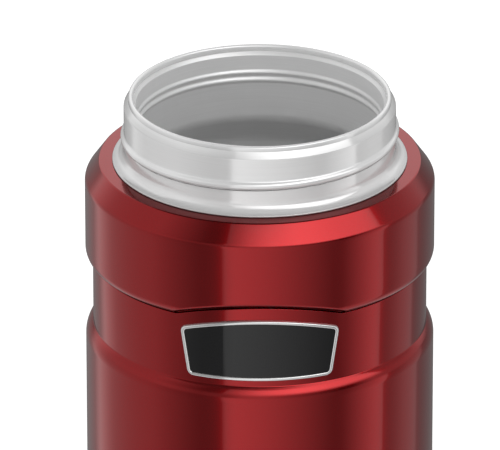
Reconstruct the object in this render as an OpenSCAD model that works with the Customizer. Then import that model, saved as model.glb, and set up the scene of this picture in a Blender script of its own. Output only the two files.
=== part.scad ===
// Insulated food jar: a steel vacuum vessel with a wide threaded neck, a lacquered
// shell, a lacquered shoulder collar and a framed badge on its waist.
// Millimetres. The jar stands on z = 0 with its axis on Z, and the badge faces -Y.

/* [Body] */
// Outer diameter of the body and of the collar
body_d = 104; // [100:0.5:120]
// Height from the table to the lip
jar_h = 150; // [140:1:200]
// Sheet thickness of the outer shell
shell_t = 0.6; // [0.4:0.1:1]
// How far the waist lies below the body's surface
waist_depth = 2.2; // [1.6:0.1:3]
// Height of the waist between the shoulder of the body and the collar
waist_h = 21.4; // [20:0.2:30]
// Radius of the body's upper shoulder
shoulder_round = 6.2; // [3:0.1:8]
// Radius of the curl at the foot of the shell
curl_round = 3.5; // [2.6:0.1:4.5]

/* [Collar] */
// Height of the collar from its lower edge to its flat top
collar_h = 30.2; // [26:0.2:36]
// Thickness of the collar's top plate
collar_top_t = 1.7; // [1.2:0.1:2.5]
// Share of the shoulder's width that the chamfer takes up
chamfer_share = 0.36; // [0.25:0.005:0.45]
// Height of that chamfer
chamfer_h = 5.8; // [4:0.1:8]
// Radius where the chamfer meets the wall
chamfer_round = 2.6; // [1:0.1:4]
// Radius that draws the lower end in towards the waist
collar_round = 3.2; // [2.4:0.1:6]
// Thickness of the lower edge
collar_edge_t = 0.4; // [0.3:0.05:1]
// How high the front relief rises above the lower edge
relief_rise = 4.4; // [2:0.1:6]
// Angle from the front at which the relief runs out
relief_angle = 29.5; // [24:0.5:36]

/* [Neck] */
// Inner diameter of the mouth, where a stopper seals
mouth_d = 73.4; // [64:0.2:76]
// Height of the neck from the collar's flat top to the lip
neck_h = 20.4; // [18:0.2:26]
// Sheet thickness of the neck
neck_t = 0.6; // [0.4:0.1:0.8]
// Radius of the rolled lip
lip_round = 0.7; // [0.5:0.05:1]
// Height of the straight band below the rolled lip
lip_band_h = 0.95; // [0.5:0.05:2]
// Width of the bevel from the lip band out to the neck wall
bevel_w = 1.4; // [0.8:0.1:2]
// Height of that bevel
bevel_h = 1.7; // [1:0.1:3]
// Share of the shoulder's width that the flange on the collar takes up
flange_share = 0.296; // [0.2:0.002:0.34]
// Thickness of the flange
flange_t = 0.6; // [0.4:0.1:1]
// Width of the flat rim of the flange, outside its fillet
flange_land = 0.45; // [0.35:0.05:1]

/* [Thread] */
// Height of the thread above the neck wall
thread_h = 0.95; // [0.6:0.05:1.4]
// Width of the thread at its root
thread_w = 2.5; // [1.8:0.1:3.2]
// Rise of the thread in one turn, right-handed
thread_pitch = 4.2; // [3:0.1:5]
// Drop from the lip to the middle of the thread at the front
thread_drop = 11.6; // [10:0.1:12.5]
// Length of the thread in degrees, half on each side of the front
thread_sweep = 340; // [240:10:350]

/* [Liner] */
// Vacuum gap between the liner and the waist of the shell
vacuum_gap = 4.2; // [3:0.1:7]
// Vacuum gap between the floor of the liner and the outer bottom
floor_gap = 5; // [4:0.1:8]
// Sheet thickness of the liner
liner_t = 0.5; // [0.4:0.05:0.6]
// Width of the flare from the mouth out to the lip
flare_w = 0.85; // [0.5:0.05:1.2]
// Height of the short rim that joins the flare to the lip
flare_rim_h = 0.2; // [0.1:0.05:0.5]
// Straight height of the mouth between the flare and the seat beads
mouth_h = 4.4; // [3:0.1:8]
// How far each seat bead stands into the mouth
seat_bead_h = 0.45; // [0.3:0.05:0.5]
// Height of one seat bead, and the distance between the two beads
seat_bead_w = 2.4; // [2.3:0.1:3]
// Drop from the lip to the liner's shoulder
throat_h = 24; // [20:0.5:30]
// Height of the liner's shoulder
liner_shoulder_h = 9; // [6:0.5:14]
// Radius of the liner's corners
liner_round = 6; // [3:0.5:8]
// Height of the liner's bottom cup, from its floor to the weld
liner_cup_h = 12; // [9:0.5:18]

/* [Vacuum] */
// Thickness of the radiation foil round the liner
foil_t = 0.2; // [0.1:0.05:0.4]
// Clear height above and below the radiation foil
foil_margin = 4; // [2:0.5:10]
// Thickness of the outer bottom plate
bottom_t = 0.8; // [0.6:0.1:1.2]
// Height of the outer bottom's rim, which is welded into the shell
bottom_rim_h = 5; // [3:0.5:8]
// Diameter of the evacuation hole
port_d = 2.4; // [1.6:0.1:4]
// Diameter of the dimple round the evacuation hole
dimple_d = 12; // [9:0.5:16]
// Depth of that dimple
dimple_h = 1.2; // [0.8:0.1:2]
// Diameter of the getter pellet
getter_d = 10; // [6:0.5:14]
// Thickness of the getter pellet
getter_h = 1.6; // [1:0.1:2.2]
// Distance of the getter from the jar's axis
getter_offset = 22; // [16:1:32]
// Sheet thickness of the getter cup
getter_cup_t = 0.4; // [0.3:0.1:0.6]

/* [Base] */
// Height of the space under the outer bottom
base_h = 8; // [7:0.2:12]
// Sheet thickness of the base cover
cover_t = 0.6; // [0.4:0.1:1]
// Radius of the base cover's lower edge
cover_round = 2.2; // [1.5:0.1:3]
// How far the foot ring lifts the base cover off the table
foot_lift = 1; // [0.6:0.1:1.6]
// Depth of the groove that holds the foot ring
foot_groove = 1.2; // [0.8:0.1:1.6]
// Width of the foot ring
foot_w = 5.2; // [3:0.1:8]
// Distance from the body's surface in to the foot ring
foot_inset = 5.9; // [5.2:0.1:10]
// How far the middle of the base cover is recessed above its lower edge
cover_recess = 2; // [1:0.1:3]
// Width of the slope round that recess
cover_slope_w = 3; // [2:0.5:6]
// Width of the flat land between the slope and the groove
cover_land_w = 1; // [1:0.5:4]

/* [Badge] */
// Height of the badge at its middle
badge_h = 19.3; // [14:0.1:20.5]
// Gap between the badge and the lower end of the waist
badge_lift = 2.1; // [2:0.1:4]
// Width of the badge at its upper corners, seen from the front
badge_top_w = 46.8; // [36:0.1:52]
// Width of the badge at its lower corners, seen from the front
badge_low_w = 42.4; // [30:0.1:44]
// How far the upper edge arches above its corners
badge_arch = 4.2; // [2:0.1:5.5]
// How far the lower edge bows below its corners
badge_bow = 0.1; // [0.1:0.1:2]
// Corner radius of the badge
badge_round = 2; // [1.4:0.1:3]
// Width of the bezel
bezel_w = 1; // [0.8:0.1:1.3]
// Height of the bezel above the waist
bezel_h = 1; // [0.8:0.1:1.5]
// Thickness of the badge plate
plate_t = 0.4; // [0.3:0.1:0.5]
// Thickness of the adhesive under the plate
adhesive_t = 0.3; // [0.2:0.1:0.4]

/* [Fits] */
// Radial gap between the collar and what it slides over
collar_gap = 0.2; // [0.1:0.05:0.4]
// Thickness of the gasket between the shell and the collar
gasket_t = 0.6; // [0.4:0.1:1]
// Width of that gasket
gasket_w = 1.6; // [1:0.1:3]
// Gap round the foot ring, the getter and the parts of the badge
fit_gap = 0.2; // [0.1:0.05:0.3]

/* [Hidden] */
$fn = 96;
arc_steps = 8;
seat_beads = 2;
radian = 180 / PI;

red_lacquer = [0.60, 0.09, 0.10];
satin_steel = [0.80, 0.80, 0.81];
bright_steel = [0.88, 0.88, 0.89];
black_enamel = [0.11, 0.11, 0.11];

// Radii, from the axis outwards
mouth_r = mouth_d / 2;
lip_in_r = mouth_r + flare_w;
lip_out_r = lip_in_r + 2 * lip_round;
neck_r = lip_out_r + bevel_w;
neck_in_r = neck_r - neck_t;
body_r = body_d / 2;
shoulder_w = body_r - neck_r;
flange_w = flange_share * shoulder_w;
flange_r = neck_r + flange_w;
flange_fillet = flange_w - flange_land;
chamfer_w = chamfer_share * shoulder_w;
flat_r = body_r - chamfer_w;
waist_r = body_r - waist_depth;
collar_in_r = waist_r + collar_gap;
liner_r = waist_r - shell_t - vacuum_gap - liner_t;

// How far the sheet of the lip folds back below its band
lip_fold = neck_t / 3;

// Heights, from the lip down and from the table up
lip_z = jar_h - lip_round;
band_z = lip_z - lip_band_h;
bevel_z = band_z - bevel_h;
flare_z = band_z - lip_fold;
collar_top_z = jar_h - neck_h;
collar_low_z = collar_top_z - collar_h;
waist_low_z = collar_low_z - waist_h;
plate_z = collar_top_z - collar_top_t;
shell_top_z = plate_z - gasket_t;
thread_z = jar_h - thread_drop;
bottom_z = base_h;
liner_floor_z = bottom_z + bottom_t + floor_gap + liner_t;
weld_z = liner_floor_z + liner_cup_h;
foot_top_z = foot_lift + foot_groove;
foot_r = body_r - foot_inset;

// Degrees of the curl at the foot of the shell, and the radius at its lower end
curl_reach = 60;
curl_low_r = body_r - curl_round * (1 - cos(curl_reach));

// Cross-section of the thread above the neck wall, as shares of its height and width
thread_form = [[0.45, 0.34], [0.85, 0.12], [1, -0.1], [0.8, -0.32]];
// The same for the edges of its root, which lies inside the neck wall
thread_root_form = [0.6, -0.52];
thread_root = neck_t / 2;
// How far the thread sinks into the wall at its ends, where it fades out
thread_sink = 0.27;
thread_fade = 40;
thread_end = 0.1;
thread_steps = 48;

// The inside of the collar runs beside its chamfer, one wall further in
collar_wall = body_r - collar_in_r;
shell_cone_r = flat_r - collar_wall - collar_gap;
shell_cone_z = collar_top_z - chamfer_h - collar_top_t;

// Plane curves: [radius or x, height] pairs
function unit(v) = v / norm(v);
function left_of(v) = [-v[1], v[0]];
function arc(centre, radius, from, to, steps = arc_steps) = [
    for (i = [0 : steps])
        let (a = from + (to - from) * i / steps)
            centre + radius * [cos(a), sin(a)]
];

// Length that rounding the corner b between a and c takes off each side
function corner_reach(a, b, c, radius) = radius / tan(acos(unit(a - b) * unit(c - b)) / 2);

// Points that round the corner b between a and c
function corner(a, b, c, radius) =
    let (
        u = unit(a - b),
        v = unit(c - b),
        reach = corner_reach(a, b, c, radius),
        centre = b + unit(u + v) * norm([reach, radius]),
        s = b + u * reach - centre,
        e = b + v * reach - centre,
        turn = atan2(s[0] * e[1] - s[1] * e[0], s * e),
        start = atan2(s[1], s[0])
    )
    arc(centre, radius, start, start + turn);

// The same path moved to its left by t, with mitred corners
function beside(path, t) = [
    for (i = [0 : len(path) - 1])
        let (
            last = len(path) - 1,
            a = left_of(unit(path[max(i, 1)] - path[max(i, 1) - 1])),
            b = left_of(unit(path[min(i + 1, last)] - path[min(i + 1, last) - 1]))
        )
            path[i] + t * (a + b) / (1 + a * b)
];
function reversed(path) = [for (i = [len(path) - 1 : -1 : 0]) path[i]];

// Where a ray from p along the unit vector d leaves a circle
function leaves_circle(p, d, centre, radius) =
    let (q = p - centre, k = q * d)
    p + d * (sqrt(k * k - q * q + radius * radius) - k);

module spun(outline) {
    rotate_extrude() polygon(outline);
}

// Sheet metal spun from a path, its thickness laid to the left of the path
module spun_sheet(path, t) {
    spun(concat(path, reversed(beside(path, t))));
}

module ring(inner_r, outer_r, low_z, high_z) {
    spun([[inner_r, low_z], [outer_r, low_z], [outer_r, high_z], [inner_r, high_z]]);
}

// Threaded neck with its rolled lip above and its flange on the collar
module neck_ring() {
    edge = flange_t / 2;
    flange_top_z = collar_top_z + flange_t;
    color(satin_steel) union() {
        spun(concat(
            [[neck_in_r, shell_top_z - shell_t], [neck_r, shell_top_z - shell_t]],
            [[neck_r, collar_top_z]],
            arc([flange_r - edge, collar_top_z + edge], edge, -90, 90),
            arc([neck_r + flange_fillet, flange_top_z + flange_fillet], flange_fillet, 270, 180),
            [[neck_r, bevel_z], [lip_out_r, band_z]],
            arc([lip_out_r - lip_round, lip_z], lip_round, 0, 180),
            [[lip_in_r, flare_z], [lip_out_r - neck_t, flare_z], [neck_in_r, bevel_z - lip_fold]]
        ));
        thread();
    }
}

// Points of one section of the thread, turn degrees from the front
function thread_ring(turn) =
    let (
        fade = min(1, (thread_sweep / 2 - abs(turn)) / thread_fade),
        grown = sin(90 * max(fade, thread_end)),
        z = thread_z + thread_pitch * turn / 360,
        crest = [for (p = thread_form) [p[0] * thread_h * grown - thread_sink * (1 - grown), p[1]]],
        root = [for (side = [1, 0]) [-thread_root, thread_root_form[side]]]
    )
    [
        for (p = concat(crest, root))
            [(neck_r + p[0]) * sin(turn), -(neck_r + p[0]) * cos(turn), z + p[1] * thread_w]
    ];

module thread() {
    sides = len(thread_form) + 2;
    rings = [for (i = [0 : thread_steps]) thread_ring(thread_sweep * (i / thread_steps - 0.5))];
    points = [for (r = rings) each r];
    walls = [
        for (i = [0 : thread_steps - 1], k = [0 : sides - 1])
            let (a = i * sides + k, b = i * sides + (k + 1) % sides)
                each [[a, b + sides, b], [a, a + sides, b + sides]]
    ];
    last = thread_steps * sides;
    first_cap = [for (k = [0 : sides - 3]) [sides - 1, k, k + 1]];
    last_cap = [for (k = [0 : sides - 3]) [last + sides - 1, last + k + 1, last + k]];
    polyhedron(points, concat(walls, first_cap, last_cap), convexity = 4);
}

// Lacquered collar round the shoulder, with a plane relief above the badge
module shoulder_collar() {
    low_r = collar_in_r + collar_edge_t;
    low_x = low_r - body_r + collar_round;
    low_rise = sqrt(pow(collar_round, 2) - pow(low_x, 2));
    low_centre = [body_r - collar_round, collar_low_z + low_rise];
    wall_top = [body_r, collar_top_z - chamfer_h];
    color(red_lacquer) difference() {
        spun(concat(
            [[collar_in_r, collar_low_z]],
            arc(low_centre, collar_round, -acos(low_x / collar_round), 0),
            corner([body_r, collar_low_z], wall_top, [flat_r, collar_top_z], chamfer_round),
            [[flat_r, collar_top_z], [neck_r + collar_gap, collar_top_z]],
            [[neck_r + collar_gap, plate_z], [shell_cone_r + collar_gap, plate_z]],
            [[collar_in_r, shell_cone_z]]
        ));
        relief_cut();
    }
}

// Everything below a plane that rises towards the front
module relief_cut() {
    run_out_y = -collar_in_r * cos(relief_angle);
    tilt = atan2(relief_rise, collar_in_r * (1 - cos(relief_angle)));
    translate([0, run_out_y, collar_low_z])
        rotate([-tilt, 0, 0])
            translate([-body_r, -body_r, -body_r])
                cube([body_d, body_r, body_r]);
}

// Gasket that carries the collar on the shell's shoulder
module collar_gasket() {
    inner_r = neck_r + collar_gap;
    color("dimgray") ring(inner_r, inner_r + gasket_w, shell_top_z, plate_z);
}

// Lacquered outer shell: curled foot, body, shoulder, waist and covered top
module outer_shell() {
    curl = arc([body_r - curl_round, curl_round + foot_lift + shell_t], curl_round, -curl_reach, 0);
    shoulder_x = shoulder_round - waist_depth;
    shoulder_rise = sqrt(pow(shoulder_round, 2) - pow(shoulder_x, 2));
    shoulder_centre = [body_r - shoulder_round, waist_low_z - shoulder_rise];
    shoulder = arc(shoulder_centre, shoulder_round, 0, acos(shoulder_x / shoulder_round));
    color(red_lacquer) spun_sheet(concat(
        curl,
        shoulder,
        [[waist_r, shell_cone_z], [shell_cone_r, shell_top_z], [neck_r, shell_top_z]]
    ), shell_t);
}

// End plate welded into the shell, with the evacuation port in a dimple whose
// wall slopes at 45 degrees
module outer_bottom() {
    rim_r = body_r - shell_t;
    color(satin_steel) spun_sheet([
        [port_d / 2, bottom_z + dimple_h],
        [dimple_d / 2, bottom_z + dimple_h],
        [dimple_d / 2 + dimple_h, bottom_z],
        [rim_r, bottom_z],
        [rim_r, bottom_z + bottom_t + bottom_rim_h]
    ], bottom_t);
}

// Solder button that closes the evacuation port
module evacuation_seal() {
    seat_z = bottom_z + dimple_h;
    button_low_r = dimple_d / 4;
    color("silver") spun([
        [0, bottom_z],
        [button_low_r, bottom_z],
        [dimple_d / 2 - fit_gap, seat_z],
        [port_d / 2, seat_z],
        [port_d / 2, seat_z + bottom_t],
        [0, seat_z + bottom_t]
    ]);
}

// Pressed steel cover over the evacuation port, with a groove for the foot ring
module base_cover() {
    wall_r = curl_low_r - shell_t - fit_gap / 2;
    groove_out_r = foot_r + fit_gap;
    groove_in_r = foot_r - foot_w - fit_gap;
    color(satin_steel) spun_sheet(concat(
        [[0, foot_lift + cover_recess]],
        [[groove_in_r - cover_land_w - cover_slope_w, foot_lift + cover_recess]],
        [[groove_in_r - cover_land_w, foot_lift], [groove_in_r, foot_lift]],
        [[groove_in_r, foot_top_z], [groove_out_r, foot_top_z], [groove_out_r, foot_lift]],
        arc([wall_r - cover_round, foot_lift + cover_round], cover_round, -90, 0),
        [[wall_r, bottom_z]]
    ), cover_t);
}

// Soft ring that the jar stands on
module foot_ring() {
    color("gray") ring(foot_r - foot_w, foot_r, 0, foot_top_z);
}

// Liner wall from its bottom weld up to the flare under the lip
module inner_liner() {
    flare_low_z = flare_z - flare_rim_h - flare_w;
    bead_low_z = flare_low_z - mouth_h - seat_beads * seat_bead_w;
    bead_path = [
        for (i = [0 : seat_beads * arc_steps])
            let (wave = (1 - cos(360 * i / arc_steps)) / 2)
                [mouth_r - seat_bead_h * wave, bead_low_z + seat_bead_w * i / arc_steps]
    ];
    shoulder_high = [mouth_r, jar_h - throat_h];
    shoulder_low = [liner_r, jar_h - throat_h - liner_shoulder_h];
    color(bright_steel) spun_sheet(concat(
        [[liner_r, weld_z]],
        corner([liner_r, weld_z], shoulder_low, shoulder_high, liner_round),
        corner(shoulder_low, shoulder_high, [mouth_r, jar_h], liner_round),
        bead_path,
        [[mouth_r, flare_low_z], [lip_in_r, flare_z - flare_rim_h], [lip_in_r, flare_z]]
    ), -liner_t);
}

// Cup that is welded to the liner's wall as its floor
module liner_bottom() {
    floor_corner = [liner_r, liner_floor_z];
    color(bright_steel) spun_sheet(concat(
        [[0, liner_floor_z]],
        corner([0, liner_floor_z], floor_corner, [liner_r, weld_z], liner_round),
        [[liner_r, weld_z]]
    ), -liner_t);
}

// Foil wrapped round the straight part of the liner
module radiation_foil() {
    inner_r = liner_r + liner_t;
    high_z = jar_h - throat_h - liner_shoulder_h - foil_margin;
    color("gainsboro") ring(inner_r, inner_r + foil_t, weld_z + foil_margin, high_z);
}

// Cup that holds the getter on the vacuum side of the outer bottom
module getter_cup() {
    cup_r = getter_d / 2 + fit_gap;
    low_z = bottom_z + bottom_t;
    color("silver") translate([0, getter_offset, low_z]) difference() {
        cylinder(h = getter_h + getter_cup_t, r = cup_r + getter_cup_t);
        translate([0, 0, getter_cup_t]) cylinder(h = getter_h + getter_cup_t, r = cup_r);
    }
}

// Pellet that keeps the vacuum clean
module getter_pellet() {
    low_z = bottom_z + bottom_t + getter_cup_t;
    color("dimgray") translate([0, getter_offset, low_z]) cylinder(h = getter_h, d = getter_d);
}

// Outline of the badge seen from the front, drawn in from its edge by inset
function badge_outline(inset) =
    let (
        low_z = waist_low_z + badge_lift,
        high_z = low_z + badge_h,
        foot_corner = [badge_low_w / 2, low_z + badge_bow],
        head_corner = [badge_top_w / 2, high_z - badge_arch],
        top_r = (pow(badge_top_w / 2, 2) + pow(badge_arch, 2)) / (2 * badge_arch),
        low_r = (pow(badge_low_w / 2, 2) + pow(badge_bow, 2)) / (2 * badge_bow),
        top_centre = [0, high_z - top_r],
        low_centre = [0, low_z + low_r],
        up = unit(head_corner - foot_corner),
        side = (foot_corner + head_corner) / 2 + left_of(up) * inset,
        head = leaves_circle(side, up, top_centre, top_r - inset),
        foot = leaves_circle(side, -up, low_centre, low_r - inset),
        head_along = unit(left_of(head - top_centre)),
        foot_along = unit(left_of(low_centre - foot)),
        round_r = badge_round - inset,
        before_foot = foot - foot_along,
        after_head = head + head_along,
        top_reach = corner_reach(foot, head, after_head, round_r),
        low_reach = corner_reach(before_foot, foot, head, round_r),
        top_from = atan2(head[1] - top_centre[1], head[0]) + radian * top_reach / (top_r - inset),
        low_to = atan2(foot[1] - low_centre[1], foot[0]) - radian * low_reach / (low_r - inset),
        right_half = concat(
            arc(low_centre, low_r - inset, -90, low_to, arc_steps / 2),
            corner(before_foot, foot, head, round_r),
            corner(foot, head, after_head, round_r),
            arc(top_centre, top_r - inset, top_from, 90)
        )
    )
    concat(right_half, [for (i = [len(right_half) - 2 : -1 : 1]) [-right_half[i][0], right_half[i][1]]]);

// Part of a tube round the waist that lies behind the badge's outline
module on_waist(inner_r, outer_r, inset) {
    intersection() {
        ring(inner_r, outer_r, waist_low_z, collar_top_z);
        rotate([90, 0, 0]) linear_extrude(height = body_r) polygon(badge_outline(inset));
    }
}

// Raised metal frame of the badge
module badge_bezel() {
    color(bright_steel) difference() {
        on_waist(waist_r, waist_r + bezel_h, 0);
        rotate([90, 0, 0]) linear_extrude(height = body_r) polygon(badge_outline(bezel_w));
    }
}

// Plain dark plate inside the bezel
module badge_plate() {
    color(black_enamel)
        on_waist(waist_r + adhesive_t, waist_r + adhesive_t + plate_t, bezel_w);
}

// Adhesive pad between the plate and the waist
module badge_adhesive() {
    color("gray") on_waist(waist_r, waist_r + adhesive_t, bezel_w + fit_gap);
}

neck_ring();
shoulder_collar();
collar_gasket();
outer_shell();
outer_bottom();
evacuation_seal();
base_cover();
foot_ring();
inner_liner();
liner_bottom();
radiation_foil();
getter_cup();
getter_pellet();
badge_bezel();
badge_plate();
badge_adhesive();
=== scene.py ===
import math

import bpy
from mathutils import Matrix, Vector


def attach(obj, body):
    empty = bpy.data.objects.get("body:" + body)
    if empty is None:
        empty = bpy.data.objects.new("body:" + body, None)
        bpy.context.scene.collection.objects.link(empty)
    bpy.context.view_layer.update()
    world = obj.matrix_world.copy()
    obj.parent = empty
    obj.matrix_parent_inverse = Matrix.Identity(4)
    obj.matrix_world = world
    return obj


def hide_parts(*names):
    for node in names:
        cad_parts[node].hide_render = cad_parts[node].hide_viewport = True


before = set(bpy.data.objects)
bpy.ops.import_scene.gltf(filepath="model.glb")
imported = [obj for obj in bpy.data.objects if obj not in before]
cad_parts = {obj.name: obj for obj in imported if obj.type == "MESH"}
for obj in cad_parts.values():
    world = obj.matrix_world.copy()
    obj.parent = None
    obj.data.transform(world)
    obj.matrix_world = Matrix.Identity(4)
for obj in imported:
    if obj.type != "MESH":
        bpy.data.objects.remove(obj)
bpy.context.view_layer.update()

MM = 0.001

# Sizes of the jar in millimetres. _R stands for a radius, _T for a sheet's thickness, _W for a
# width, _H for a height and _Z for a height above the table.

# The outer shell: curled in at its foot, rounded at its shoulder, narrow at its waist, and drawn
# in over a cone, under the collar, to the neck
BODY_R = 52.0
WAIST_R = 49.8
SHELL_T = 0.6
CURL_R = 3.5
SHOULDER_ROUND = 6.2
SHOULDER_Z = 73.263
SHOULDER_SWEEP = 49.82
WAIST_LOW_Z = 78.0
CONE_Z = 122.1
CONE_R = 45.606
SHELL_TOP_Z = 127.3

# The collar: a wall, a chamfer and a flat top that is a plate with an underside
COLLAR_IN_R = 50.0
COLLAR_LOW_Z = 99.4
CHAMFER_LOW_Z = 123.8
CHAMFER_TOP_R = 47.806
CHAMFER_ROUND = 2.6
COLLAR_UNDER_Z = 127.9
COLLAR_TOP_Z = 129.6

# The neck: a flange on the collar, a filleted wall, a bevel, a band and the rolled lip
NECK_R = 40.35
NECK_T = 0.6
FLANGE_R = 43.798
FLANGE_T = 0.6
FLANGE_TOP_Z = COLLAR_TOP_Z + FLANGE_T
FILLET = 2.998
BEVEL_Z = 146.65
BAND_Z = 148.35
LIP_Z = 149.3
LIP_OUT_R = 38.95
LIP_IN_R = 37.55
LIP_ROUND = 0.7
JAR_H = 150.0

# The liner: a floor that is welded on, a shoulder, a throat, two seat beads, a mouth and a flare
LINER_T = 0.5
LINER_R = 44.5
LINER_ROUND = 6
LINER_FLOOR_Z = 14.3
WELD_Z = 26.3
LINER_SHOULDER_H = 9
THROAT_H = 24
MOUTH_R = 36.7
MOUTH_H = 4.4
SEAT_BEAD_W = 2.4
SEAT_BEAD_H = 0.45
FLARE_W = 0.85
FLARE_RIM_H = 0.2
FLARE_Z = 148.15

# The base cover, with a land and a slope round its recess, and the foot ring in its groove
COVER_T = 0.6
COVER_ROUND = 2.2
COVER_GAP = 0.1
COVER_RECESS = 2
COVER_SLOPE_W = 3
COVER_LAND_W = 1
BOTTOM_Z = 8.0
FOOT_LIFT = 1.0
FOOT_R = 46.1
FOOT_W = 5.2
FOOT_TOP_Z = 2.2
FIT_GAP = 0.2

# The badge: a frame and a plate, with an arched top edge and a slightly bowed lower one
BADGE_LOW_Z = 80.1
BADGE_HIGH_Z = 99.4
BADGE_TOP_W = 46.8
BADGE_LOW_W = 42.4
BADGE_ARCH = 4.2
BADGE_BOW = 0.1
BADGE_ROUND = 2.0
BEZEL_W = 1.0
BEZEL_H = 1.0
ADHESIVE_T = 0.3
PLATE_T = 0.4


# ---------------------------------------------------------------- sections


def arc(centre, radius, start, end, steps=8):
    """Points of an arc in a half section, from one angle in degrees to another."""
    angles = [math.radians(start + (end - start) * i / steps) for i in range(steps + 1)]
    return [(centre[0] + radius * math.cos(a), centre[1] + radius * math.sin(a)) for a in angles]


def rounded(points, steps=5):
    """A half section with its corners rounded where a point carries a third number, its radius."""
    path = []
    for i, point in enumerate(points):
        here = Vector(point[:2])
        if len(point) == 2:
            path.append(tuple(here))
            continue
        back = (Vector(points[i - 1][:2]) - here).normalized()
        on = (Vector(points[(i + 1) % len(points)][:2]) - here).normalized()
        half = back.angle(on) / 2
        centre = here + (back + on).normalized() * point[2] / math.sin(half)
        first = here + back * point[2] / math.tan(half) - centre
        turn = math.copysign(math.pi - 2 * half, back.y * on.x - back.x * on.y)
        for k in range(steps + 1):
            a = turn * k / steps
            spoke = (
                first.x * math.cos(a) - first.y * math.sin(a),
                first.x * math.sin(a) + first.y * math.cos(a),
            )
            path.append((centre.x + spoke[0], centre.y + spoke[1]))
    return path


def sheet(path, thickness):
    """Closes a half section of sheet metal: the path, and the same path moved to its left."""
    inner = []
    for i, point in enumerate(path):
        before = Vector(path[max(i, 1)]) - Vector(path[max(i, 1) - 1])
        last = len(path) - 1
        after = Vector(path[min(i + 1, last)]) - Vector(path[min(i + 1, last) - 1])
        a = Vector((-before.y, before.x)).normalized()
        b = Vector((-after.y, after.x)).normalized()
        inner.append(tuple(Vector(point) + thickness * (a + b) / (1 + a.dot(b))))
    return path + inner[::-1]


def rows(start, end, spacing):
    """Points along a straight stretch of a half section, so that it can be shaped further."""
    a, b = Vector(start), Vector(end)
    count = max(1, round((b - a).length / spacing))
    return [tuple(a + (b - a) * i / count) for i in range(1, count)]


# ---------------------------------------------------------------- modelling


def start_clean():
    if bpy.context.mode != "OBJECT":
        bpy.ops.object.mode_set(mode="OBJECT")
    bpy.ops.object.select_all(action="DESELECT")


def pick(piece):
    """Leaves one piece selected and active, in object mode."""
    start_clean()
    piece.select_set(True)
    bpy.context.view_layer.objects.active = piece


def select_mesh():
    bpy.ops.mesh.select_all(action="SELECT")


def first_point(name, place):
    """Starts a piece as a small plane that is merged into one point."""
    start_clean()
    bpy.ops.mesh.primitive_plane_add(size=0.001, location=place)
    piece = bpy.context.object
    piece.name = piece.data.name = name
    bpy.ops.object.mode_set(mode="EDIT")
    bpy.ops.mesh.select_mode(type="VERT")
    select_mesh()
    bpy.ops.mesh.merge(type="CENTER")
    return piece


def extrude(step):
    bpy.ops.mesh.extrude_region_move(TRANSFORM_OT_translate={"value": step})


def draw_on(points):
    """Extrudes the last point along a line of points, in millimetres."""
    for a, b in zip(points, points[1:]):
        extrude([(q - p) * MM for p, q in zip(a, b)])


def join_close(distance):
    select_mesh()
    bpy.ops.mesh.remove_doubles(threshold=distance)


def face_outward():
    select_mesh()
    bpy.ops.mesh.normals_make_consistent(inside=False)


def settle(piece, angle=32):
    """Puts the piece's place into its mesh and shades it smooth except at its edges."""
    pick(piece)
    bpy.ops.object.transform_apply(location=True, rotation=True, scale=True)
    bpy.ops.object.shade_smooth_by_angle(angle=math.radians(angle))
    return piece


def turned(name, section, steps=256):
    """Draws a closed half section and turns it once round the jar's axis."""
    piece = first_point(name, (section[0][0] * MM, 0, section[0][1] * MM))
    ends_on_axis = section[0][0] == 0 and section[-1][0] == 0
    outline = section if ends_on_axis else section + section[:1]
    draw_on([(r, 0, z) for r, z in outline])
    join_close(1e-6)
    bpy.ops.mesh.spin(steps=steps, angle=math.tau, center=(0, 0, 0), axis=(0, 0, 1))
    join_close(2e-6)
    face_outward()
    return settle(piece)


def displace(piece, group_name, strength):
    """Moves a vertex group's points along their normals, by their weight times a strength in mm."""
    pick(piece)
    modifier = piece.modifiers.new("Displace", "DISPLACE")
    modifier.direction = "NORMAL"
    modifier.mid_level = 0
    modifier.strength = strength * MM
    modifier.vertex_group = group_name
    bpy.ops.object.modifier_apply(modifier=modifier.name)


# ---------------------------------------------------------------- neck

# The rolled thread: its middle at the front, and how far round it runs and fades in, in degrees
THREAD_Z = 138.4
THREAD_PITCH = 4.2
THREAD_H = 0.95
THREAD_W = 2.5
THREAD_HALF_SWEEP = 170
THREAD_FADE = 40

# Its section, by places across it in thread widths above its middle: a round belly below, and
# an upper flank with its heights as shares of the full one
BELLY_FOOT = -0.52
BELLY_TOP = -0.16
BELLY_W = 0.36
THREAD_FLANK = [
    (0.62, 0), (0.54, 0.01), (0.46, 0.06), (0.36, 0.25), (0.22, 0.7), (0.06, 0.98), (0, 1),
]

# The crease that rolling leaves under the thread, also in thread widths
CREASE_PLACE = -0.6
CREASE_HALF_W = 0.11
CREASE_DEPTH = 0.36

# The rows on the neck's wall are closer where the thread and the crease are
THREAD_LOW_Z = 134.7
THREAD_HIGH_Z = 142.3
THREAD_ROW = 0.1
WALL_ROW = 0.4

# The rounds at both ends of the bevel, and how far below its corners they and its inside start
BEVEL_ANGLE = 39
BEVEL_LOW_ROUND = 0.6
BEVEL_LOW_DROP = 0.25
BEVEL_TOP_ROUND = 0.5
BEVEL_TOP_DROP = 0.05
BEVEL_IN_DROP = 0.2

# Painted shade on the neck's steel: how much darker it is painted in the corner on the flange,
# fading out above it, and on the bevel
CORNER_SHADE = 0.3
CORNER_SHADE_H = 0.7
BEVEL_SHADE = 0.18


def along_thread(x, y, z):
    """Where a point of the neck's wall lies across the thread, and how far the thread is grown."""
    turn = math.degrees(math.atan2(x, -y))
    across = (z - THREAD_Z - THREAD_PITCH * turn / 360) / THREAD_W
    fade = min(1, (THREAD_HALF_SWEEP - abs(turn)) / THREAD_FADE)
    return across, math.sin(fade * math.pi / 2) if fade > 0 else 0


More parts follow.
